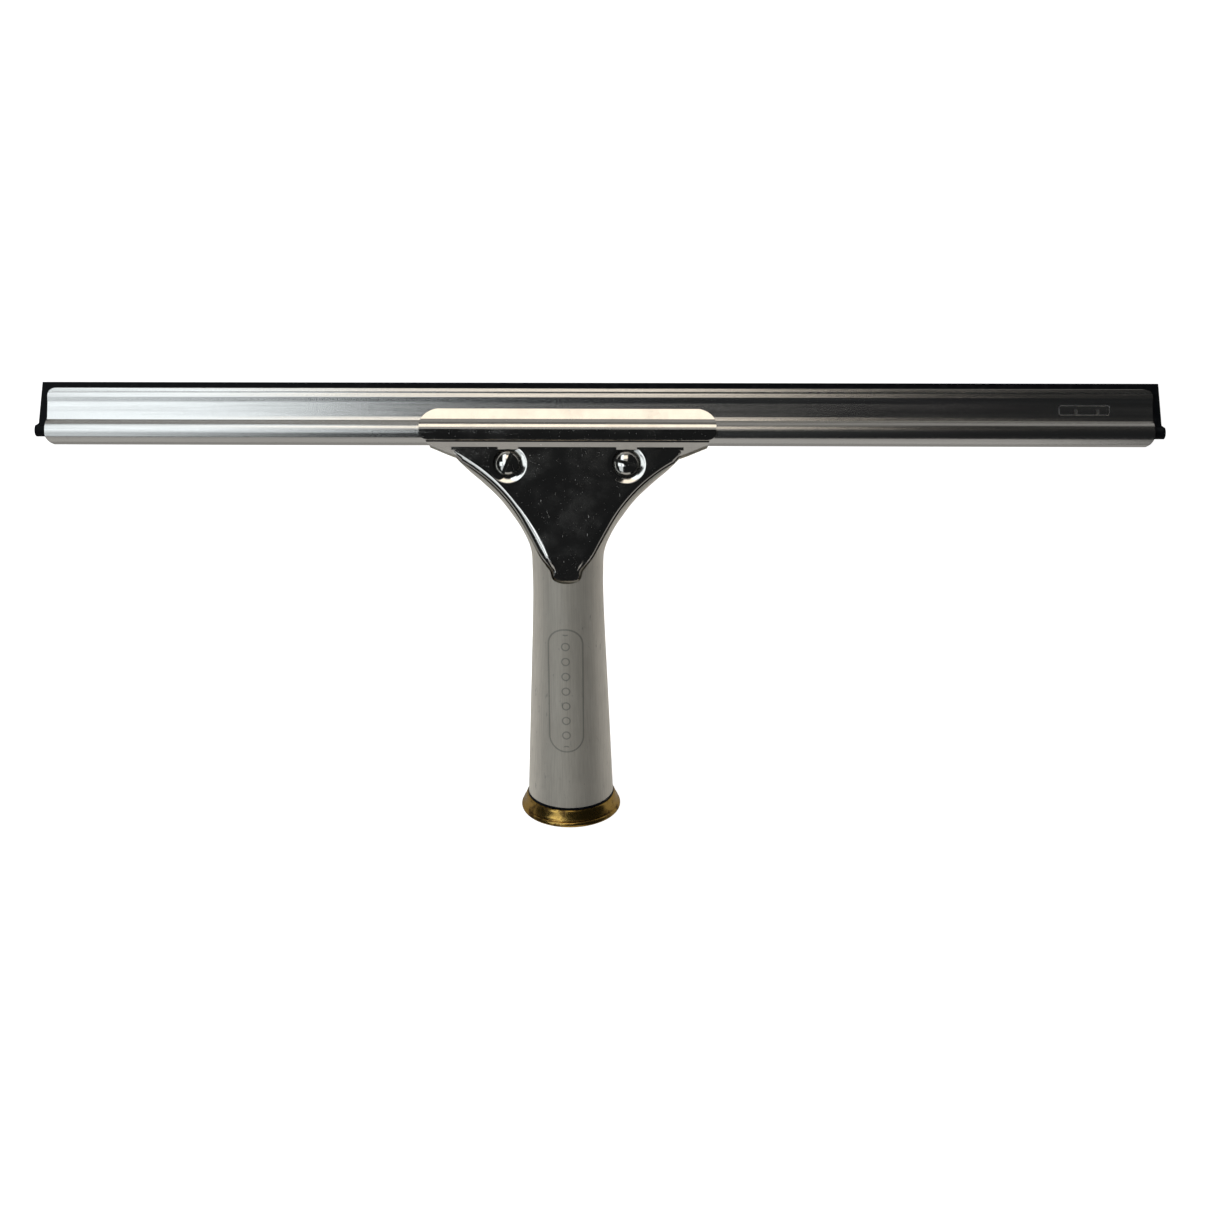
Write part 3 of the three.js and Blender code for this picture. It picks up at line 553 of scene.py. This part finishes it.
class Finish:
    """A node material with one metal or rubber shader."""

    def __init__(self, name, **uniform):
        self.material = bpy.data.materials.new(name)
        self.material.use_nodes = True
        self.nodes = self.material.node_tree.nodes
        self.links = self.material.node_tree.links
        self.shader = self.nodes["Principled BSDF"]
        for key, value in uniform.items():
            self.shader.inputs[key.replace("_", " ").title().replace("Ior", "IOR")].default_value = value

    def node(self, kind, settings=None, inputs=None, output=0):
        made = self.nodes.new(kind)
        for key, value in (settings or {}).items():
            setattr(made, key, value)
        for key, value in (inputs or {}).items():
            self.put(made.inputs[key], value)
        return Value(self, made.outputs[output])

    def put(self, socket, value):
        if isinstance(value, Value):
            self.links.new(value.socket, socket)
        elif value is not None:
            socket.default_value = value

    def set(self, key, value):
        self.put(self.shader.inputs[key], value)

    def place(self, matrix, stretch=(1, 1, 1)):
        """Object coordinates turned into a drawing frame, in millimetres, then stretched."""
        coords = self.node("ShaderNodeTexCoord", output=3)
        inverse = matrix.inverted()
        location, turn, scale = inverse.decompose()
        return self.node("ShaderNodeMapping", {"vector_type": "POINT"},
                         {"Vector": self.node("ShaderNodeMapping", {"vector_type": "POINT"},
                                              {"Vector": coords, "Location": location,
                                               "Rotation": turn.to_euler(), "Scale": scale}),
                          "Scale": stretch})

    def noise(self, vector, scale=1.0, detail=3.0, rough=0.55, warp=0.0):
        return self.node("ShaderNodeTexNoise", {"noise_dimensions": "3D"},
                         {"Vector": vector, "Scale": scale, "Detail": detail, "Roughness": rough,
                          "Distortion": warp})

    def split(self, vector):
        made = self.nodes.new("ShaderNodeSeparateXYZ")
        self.put(made.inputs[0], vector)
        return [Value(self, o) for o in made.outputs]

    def mix(self, factor, a, b):
        made = self.nodes.new("ShaderNodeMix")
        made.data_type = "RGBA"
        self.put(made.inputs[0], factor)
        self.put(made.inputs[6], a)
        self.put(made.inputs[7], b)
        return Value(self, made.outputs[2])

    def bump(self, height, depth, strength=1.0):
        """Raises the surface by a height from 0 to 1, worth a depth in millimetres."""
        self.set("Normal", self.node("ShaderNodeBump", None,
                                     {"Height": height, "Distance": depth * MM, "Strength": strength}))


def colour(r, g, b):
    return (r, g, b, 1.0)


def rounded_box(finish, x, y, half_x, half_y, corner):
    """Distance outside a rounded rectangle, negative inside it."""
    dx = (x.math("ABSOLUTE") - (half_x - corner)).math("MAXIMUM", 0.0)
    dy = (y.math("ABSOLUTE") - (half_y - corner)).math("MAXIMUM", 0.0)
    return (dx * dx + dy * dy).math("SQRT") - corner


def polished_steel():
    f = Finish("polished steel", metallic=1.0)
    p = f.place(IN_HEAD)
    haze = f.noise(p, 0.12, 5, 0.6)
    fine = f.noise(f.place(IN_HEAD, (0.15, 2.2, 2.2)), 2.0, 5, 0.7)
    specks = (f.noise(p, 3.1, 2, 0.5) > 0.725) * (f.noise(p, 0.3, 3) > 0.5)
    scratch = (f.noise(f.place(IN_HEAD, (2.6, 0.35, 1.0)), 1.0, 1, 0.4, 1.2).ramp(0.74, 0.76)
               * (f.noise(p, 0.5, 2) > 0.55))
    f.set("Base Color", f.mix((haze.ramp(0.3, 0.75) * 0.5 + fine * 0.2).clamped(),
                              colour(0.80, 0.78, 0.74), colour(0.68, 0.66, 0.62)))
    f.set("Roughness", haze.ramp(0.35, 0.7, 0.05, 0.14) + fine * 0.02 + specks * 0.55 + scratch * 0.35)
    f.bump(fine * 0.25 + specks * 0.4 + haze * 0.8, 0.01, 0.5)
    return f.material


def brushed_channel():
    f = Finish("brushed channel steel", metallic=1.0)
    p = f.place(IN_HEAD)
    x, y, z = f.split(p)
    lines = f.noise(f.place(IN_HEAD, (0.02, 7, 7)), 1.3, 4, 0.7)
    broad = f.noise(f.place(IN_HEAD, (0.012, 0.8, 0.8)), 1.0, 3, 0.6)
    stamp = rounded_box(f, x - 165, y - 7.3, 8.0, 1.5, 0.7)
    ring = (stamp.math("ABSOLUTE") < 0.12)
    dots = ((x * 0.9).math("SINE") * (y - 7.3).ramp(0.7, 0.3)).ramp(0.86, 0.93) * (stamp < -0.3)
    mark = (ring + dots).clamped()
    f.set("Base Color", f.mix((lines * 0.5 + broad * 0.4 + mark * 0.5).clamped(),
                              colour(0.86, 0.85, 0.82), colour(0.62, 0.61, 0.59)))
    f.set("Roughness", broad.ramp(0.3, 0.7, 0.16, 0.23) + lines * 0.06 + mark * 0.1)
    f.bump(lines - mark * 1.2, 0.014, 0.8)
    return f.material


def satin_handle():
    f = Finish("satin handle steel", metallic=0.4)
    p = f.place(IN_HANDLE)
    x, y, z = f.split(p)
    streaks = f.noise(f.place(IN_HANDLE, (2.4, 0.03, 2.4)), 1.0, 5, 0.7)
    cloud = f.noise(f.place(IN_HANDLE, (0.14, 0.04, 0.14)), 1.0, 4, 0.65)
    blotch = f.noise(f.place(IN_HANDLE, (0.5, 0.22, 0.5)), 1.0, 5, 0.65).ramp(0.60, 0.76)
    grain = f.noise(p, 5.0, 3, 0.6)
    # A plain long frame round a row of dots, cut into the front of the tube.
    frame_line = rounded_box(f, x + 0.6, y - 48.5, 5.6, 21.5, 5.4)
    front = z > 3
    ring = (frame_line.math("ABSOLUTE") < 0.26) * front
    step = (y - 48.5) / 5.2
    cell = step - step.math("ROUND")
    dot_at = ((x + 0.6) * (x + 0.6) + cell * cell * 27).math("SQRT")
    dots = (dot_at.math("SUBTRACT", 1.25).math("ABSOLUTE") < 0.22) * (frame_line < -1.6) * front
    mark = (ring + dots).clamped()
    wear = (streaks * 0.6 + cloud * 0.4).clamped()
    steel = f.mix(wear.ramp(0.3, 0.7), colour(0.96, 0.905, 0.80), colour(0.76, 0.71, 0.62))
    f.set("Base Color", f.mix((blotch * 0.38 + mark * 0.45).clamped(), steel, colour(0.2, 0.185, 0.16)))
    f.set("Roughness", cloud.ramp(0.3, 0.7, 0.42, 0.52) + grain * 0.06 + blotch * 0.08)
    f.bump(streaks * 0.5 + grain * 0.3 - mark * 1.6, 0.02, 0.6)
    return f.material


def brass_with_painted_reflections():
    f = Finish("brass with painted reflections", metallic=1.0)
    p = f.place(IN_HANDLE)
    rings = f.noise(f.place(IN_HANDLE, (0.06, 5, 0.06)), 1.4, 4, 0.7)
    patch = f.noise(p, 0.28, 5, 0.65)
    # The dark patches mixed into the colour are painted reflections of the dark surroundings on the
    # polished brass; the same mask also makes those patches rougher.
    painted_dark_reflection = patch.ramp(0.48, 0.68)
    f.set("Base Color", f.mix(painted_dark_reflection, f.mix(rings, colour(0.78, 0.50, 0.14), colour(0.52, 0.32, 0.08)),
                              colour(0.16, 0.09, 0.03)))
    f.set("Roughness", painted_dark_reflection * 0.22 + rings * 0.12 + 0.16)
    f.bump(rings * 0.6 + patch * 0.5, 0.02, 0.7)
    return f.material


def black_rubber():
    f = Finish("black rubber", metallic=0.0, specular_ior_level=0.12)
    p = f.place(IN_HEAD)
    dust = f.noise(p, 0.35, 5, 0.65)
    grain = f.noise(p, 7.0, 2, 0.5)
    f.set("Base Color", f.mix(dust.ramp(0.45, 0.8), colour(0.006, 0.007, 0.009),
                              colour(0.022, 0.023, 0.026)))
    f.set("Roughness", dust.ramp(0.3, 0.7, 0.42, 0.6) + grain * 0.06)
    f.bump(grain, 0.01, 0.5)
    return f.material


def spring_steel():
    f = Finish("bare spring steel", metallic=1.0)
    p = f.place(IN_HEAD)
    blue = f.noise(p, 0.4, 4, 0.6)
    f.set("Base Color", f.mix(blue, colour(0.42, 0.42, 0.42), colour(0.24, 0.25, 0.27)))
    f.set("Roughness", blue.ramp(0.3, 0.7, 0.25, 0.4))
    f.bump(f.noise(p, 4.0, 3, 0.6), 0.01, 0.5)
    return f.material


FINISHES = {"polished_steel": polished_steel(), "brushed_steel": brushed_channel(),
            "satin_steel": satin_handle(), "brass": brass_with_painted_reflections(), "black_rubber": black_rubber(),
            "spring_steel": spring_steel()}


def finish_piece(obj, name, slot_name, body, *nodes):
    obj.name = name
    obj.data.name = name
    obj.data.materials.clear()
    obj.data.materials.append(FINISHES[slot_name])
    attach(obj, body)
    if nodes:
        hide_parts(*nodes)
    return obj


# ---------------------------------------------------------------- the pieces
finish_piece(make_channel(), "channel_profile", "brushed_steel", "channel", "blade_channel")
finish_piece(make_rubber(), "rubber_strip", "black_rubber", "rubber", "rubber_blade")
finish_piece(make_clamp_plate(), "clamp_plate_pressed", "polished_steel", "clamp_plate", "clamp_plate")
finish_piece(make_handle(), "handle_shell", "satin_steel", "handle", "handle_body")
finish_piece(make_bushing(), "pole_bushing_turned", "brass", "handle", "pole_bushing")
finish_piece(make_seal(), "bushing_seal_ring", "black_rubber", "handle", "bushing_seal")
for side, word, turn in ((-1, "left", 67.5), (1, "right", -15)):
    finish_piece(make_screw(side, turn), f"clamp_screw_{word}_turned", "polished_steel",
                 f"screw_{word}", f"clamp_screw_{word}")
    finish_piece(make_washer(side), f"screw_washer_{word}_turned", "polished_steel",
                 f"washer_{word}", f"screw_washer_{word}")
for name, node in frame["nodes"].items():
    if name.startswith(("captive_nut", "rubber_clip")):
        node.data.materials.clear()
        node.data.materials.append(FINISHES["spring_steel"])


# ---------------------------------------------------------------- studio
def studio_floor():
    deselect()
    bpy.ops.mesh.primitive_plane_add(size=6, location=(0, 0, -0.0004))
    floor = bpy.context.object
    floor.name = "studio_floor"
    f = Finish("pale floor", roughness=0.9, specular_ior_level=0.1)
    f.set("Base Color", f.mix(f.noise(f.node("ShaderNodeTexCoord", output=3), 3.0, 2),
                              colour(0.93, 0.93, 0.93), colour(0.95, 0.95, 0.95)))
    f.shader.inputs["Emission Color"].default_value = colour(1, 1, 1)
    f.shader.inputs["Emission Strength"].default_value = 0.97
    floor.data.materials.append(f.material)
    floor.visible_glossy = False
    return floor


def floor_bounce():
    """What the metal sees of the floor: a dimmer sheet just under it, seen in reflections alone."""
    deselect()
    bpy.ops.mesh.primitive_plane_add(size=5, location=(0, 0, -0.0008))
    sheet = bpy.context.object
    sheet.name = "floor_bounce"
    f = Finish("floor bounce", roughness=1.0)
    f.shader.inputs["Base Color"].default_value = colour(0, 0, 0)
    f.shader.inputs["Emission Color"].default_value = colour(1, 0.98, 0.94)
    f.shader.inputs["Emission Strength"].default_value = 0.28
    sheet.data.materials.append(f.material)
    sheet.visible_camera = sheet.visible_diffuse = sheet.visible_shadow = False
    return sheet


def backdrop_dome():
    """The plain pale wall behind, seen by the camera alone."""
    deselect()
    bpy.ops.mesh.primitive_uv_sphere_add(segments=64, ring_count=32, radius=2.9, location=(0, 0, 0))
    dome = bpy.context.object
    dome.name = "backdrop_dome"
    f = Finish("pale backdrop", roughness=1.0)
    f.shader.inputs["Base Color"].default_value = colour(0, 0, 0)
    f.shader.inputs["Emission Color"].default_value = colour(1, 1, 1)
    f.shader.inputs["Emission Strength"].default_value = 0.97
    dome.data.materials.append(f.material)
    dome.visible_glossy = dome.visible_diffuse = dome.visible_shadow = False
    return dome


def card(name, left, right, low, high, glow, tint, distance=1.4):
    """A soft light panel along the blade, between two places across and two angles up from the head."""
    middle, half = math.radians((low + high) / 2), math.radians((high - low) / 2)
    data = bpy.data.lights.new(name, "AREA")
    data.shape = "RECTANGLE"
    data.size, data.size_y = right - left, 2 * distance * math.tan(half)
    data.energy = glow * math.pi * data.size * data.size_y
    data.color = tint
    light = bpy.data.objects.new(name, data)
    bpy.context.scene.collection.objects.link(light)
    head = Matrix.Translation(IN_HEAD.translation) @ IN_HEAD.to_quaternion().to_matrix().to_4x4()
    light.matrix_world = head @ Matrix.Translation(
        ((left + right) / 2, distance * math.sin(middle), distance * math.cos(middle))
    ) @ Matrix.Rotation(-middle, 4, "X")
    return light


studio_floor()
floor_bounce()
backdrop_dome()
warm, cool, plain = (1.0, 0.90, 0.77), (0.88, 0.95, 1.0), (1.0, 0.98, 0.94)
card("overhead_strip", -0.36, 0.15, 29, 49, 1.45, warm)
card("upper_glow", -0.36, 0.15, 15, 29, 0.36, plain)
card("high_glow", -0.36, 0.3, 49, 88, 0.14, plain)
card("left_box", -0.78, -0.36, -12, 60, 1.5, cool)
card("far_left", -1.5, -0.78, -12, 14, 1.4, cool)
card("left_low", -1.2, -0.45, -48, -12, 0.8, cool)
card("lower_card", -0.9, 0.6, -112, -54, 0.40, plain)

world = bpy.data.worlds.new("studio")
bpy.context.scene.world = world
world.use_nodes = True
backdrop = world.node_tree.nodes["Background"]
backdrop.inputs["Color"].default_value = colour(0.9, 0.95, 1.0)
backdrop.inputs["Strength"].default_value = 0.012

camera = bpy.data.cameras.new("camera")
camera.sensor_fit = "HORIZONTAL"
camera.angle = math.radians(39.483)
camera.clip_start, camera.clip_end = 0.02, 20
camera_object = bpy.data.objects.new("camera", camera)
bpy.context.scene.collection.objects.link(camera_object)
camera_object.location = (0.01666, 0.19806, 0.53709)
camera_object.rotation_euler = [math.radians(a) for a in (-20.774, 1.356, -0.216)]
bpy.context.scene.camera = camera_object
bpy.context.scene.view_settings.view_transform = "Standard"

deselect()
